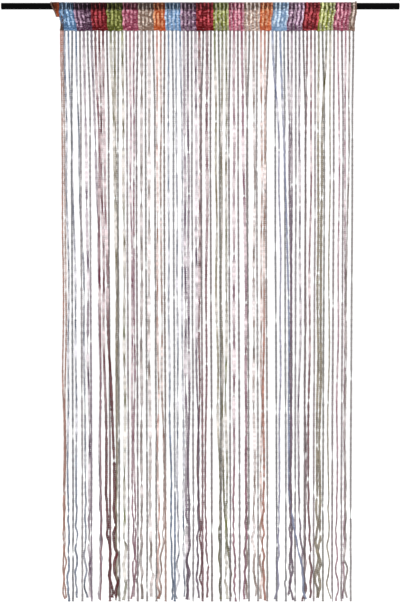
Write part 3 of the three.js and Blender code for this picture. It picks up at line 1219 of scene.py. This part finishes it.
def net_finish():
    """The net takes the dye of the block that it lies in, with that block's painted light, and by a
    noise the painted highlight of its lit yarn.
    """
    finish = Finish("band_net_yarn")
    across, around = finish.stitch_place()
    shade = finish.attribute("shade")
    tight = []
    loose = []
    for place, (first, block) in enumerate(zip(FIRSTS, BLOCKS)):
        before = NET_LATE_EDGE if place in LATE else NET_EDGE
        edge = max((first - before) / (STRING_COUNT - 2), 0)
        dyed, lit = (np.array(linear(colour)[:3]) for colour in YARNS[block.yarn][:2])
        tight.append((edge, [*(dyed * block.bright), 1]))
        loose.append((edge, [*(lit * slack_brightness(block)), 1]))
    tight, loose = (
        finish.node(
            "ShaderNodeValToRGB", {"interpolation": "CONSTANT", "stops": stops}, {0: across}
        )
        for stops in (tight, loose)
    )
    weave = finish.speckle(NET_WEAVE, 3)
    light = finish.noise(across * NET_LIGHT[0] + around * NET_LIGHT[1], 1)
    colour = finish.blend(light, tight, loose)
    colour = finish.brighten(colour, shade * (1 - NET_TONE / 2 + weave * NET_TONE))
    return finish.surface(colour, 0.4 + weave * 0.3, weave, 0.0002, YARN_LUSTRE)


# ---------------------------------------------------------------- rod

ROD_PAINT = (1, 1, 1)
ROD_RUBBED = (5, 5, 6)


def rod_finish():
    """Satin black paint, with a fine mottle and broad marks from handling."""
    finish = Finish("satin_black_paint")
    mottle = finish.speckle(260, 3)
    handling = finish.speckle(9)
    colour = finish.blend(handling * 0.6, linear(ROD_PAINT), linear(ROD_RUBBED))
    roughness = 0.42 + handling * 0.16 + mottle * 0.06
    return finish.surface(colour, roughness, mottle, 0.00006, {"Specular IOR Level": 0.03})


# ---------------------------------------------------------------- making the curtain

yarns = {name: yarn_finish("yarn_" + name, yarn) for name, yarn in YARNS.items()}
string_chain = stitch_chain("string_chain", STRING_CHAIN)
rib_chain = stitch_chain("rib_chain", RIB_CHAIN)
slack_chain = stitch_chain("slack_chain", SLACK_CHAIN)
hem_chain = stitch_chain("hem_chain", HEM_CHAIN)

chains = [[] for _ in BLOCKS]
for place, (first, block) in enumerate(zip(FIRSTS, BLOCKS)):
    for number in range(first, first + block.count):
        chains[place].append(string_piece(string_chain, number, block))
        chains[place].append(rib_piece(rib_chain, number, block))
        if number > 0:
            early = number == first and place in LATE
            side = place - early
            near = BLOCKS[side]
            chains[side].append(hem_filler(hem_chain, number, near.bright))
            chains[side].append(rib_piece(slack_chain, number - 0.5, near, slack=True))

for place, block in enumerate(BLOCKS):
    piece = join(f"tassels_{place:02d}_{block.yarn}", chains[place], yarns[block.yarn])
    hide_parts("string_comb")
    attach(piece, "root")

flap_ribs = [flap_piece(rib_chain, place) for place in (0, 0.33, 0.67, 1)]
flap = join("band_end_flap", flap_ribs, yarns["orange"])
cords = [
    edge_cord(rib_chain, FLAP_FOOT, LEFT_CORD),
    edge_cord(rib_chain, HEM_FOOT + 0.002, RIGHT_CORD),
    edge_knot(hem_chain, KNOT_PLACE),
]
edging = join("band_edge_cords", cords, yarns["beige"])
for piece in (flap, edging):
    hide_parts("rod_pocket")
    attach(piece, "root")

for chain in (string_chain, rib_chain, slack_chain, hem_chain):
    bpy.data.objects.remove(chain)

net = net_piece()
net.data.materials.append(net_finish())
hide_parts("rod_pocket")
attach(net, "root")

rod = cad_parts["curtain_rod"]
paint = rod_finish()
if not rod.material_slots:
    rod.data.materials.append(paint)
for slot in rod.material_slots:
    slot.material = paint

# ---------------------------------------------------------------- floor, light and camera

FLOOR_SIZE = 160
FLOOR_BELOW = 0.03
FLOOR_COLOUR = (250, 250, 250)
FLOOR_ROUGH = 0.9
WORLD_STRENGTH = 1.08

Lamp = namedtuple("Lamp", "name size power place aim")
LAMPS = (
    Lamp("key", 1.6, 55, (1.9, -3.0, 1.3), (0.1, 0, -0.5)),
    Lamp("fill", 2.2, 12, (-2.4, -3.2, 0.2), (0, 0, -1.2)),
    Lamp("back", 2.0, 30, (-0.8, 2.6, 0.9), (0, 0, -0.9)),
)

CAMERA_PLACE = (-0.001, -4.802, -0.996)
LENS = 85
SENSOR = 36
CAMERA_REACH = 200

deselect()
bpy.ops.mesh.primitive_grid_add(x_subdivisions=8, y_subdivisions=8, size=FLOOR_SIZE)
floor = bpy.context.object
floor.name = "floor"
for vertex in floor.data.vertices:
    vertex.co.z = comb_low.z - FLOOR_BELOW
ground = Finish("white_floor")
white = linear(FLOOR_COLOUR)
floor.data.materials.append(ground.surface(white, FLOOR_ROUGH, ground.speckle(3), 0.0001))

world = bpy.data.worlds.new("studio")
bpy.context.scene.world = world
world.use_nodes = True
world.node_tree.nodes["Background"].inputs["Color"].default_value = (1, 1, 1, 1)
world.node_tree.nodes["Background"].inputs["Strength"].default_value = WORLD_STRENGTH

for lamp in LAMPS:
    bpy.ops.object.light_add(type="AREA", location=lamp.place)
    light = bpy.context.object
    light.name = lamp.name
    light.data.shape = "SQUARE"
    light.data.size = lamp.size
    light.data.energy = lamp.power
    across, along, up = np.array(lamp.place) - np.array(lamp.aim)
    tilt = math.atan2(math.hypot(across, along), up)
    light.rotation_euler = (tilt, 0, math.atan2(across, -along))

bpy.context.scene.view_settings.view_transform = "Standard"

deselect()
bpy.ops.object.camera_add(location=CAMERA_PLACE, rotation=(math.pi / 2, 0, 0))
camera = bpy.context.object
camera.name = "camera"
camera.data.lens = LENS
camera.data.sensor_width = SENSOR
camera.data.clip_end = CAMERA_REACH
bpy.context.scene.camera = camera
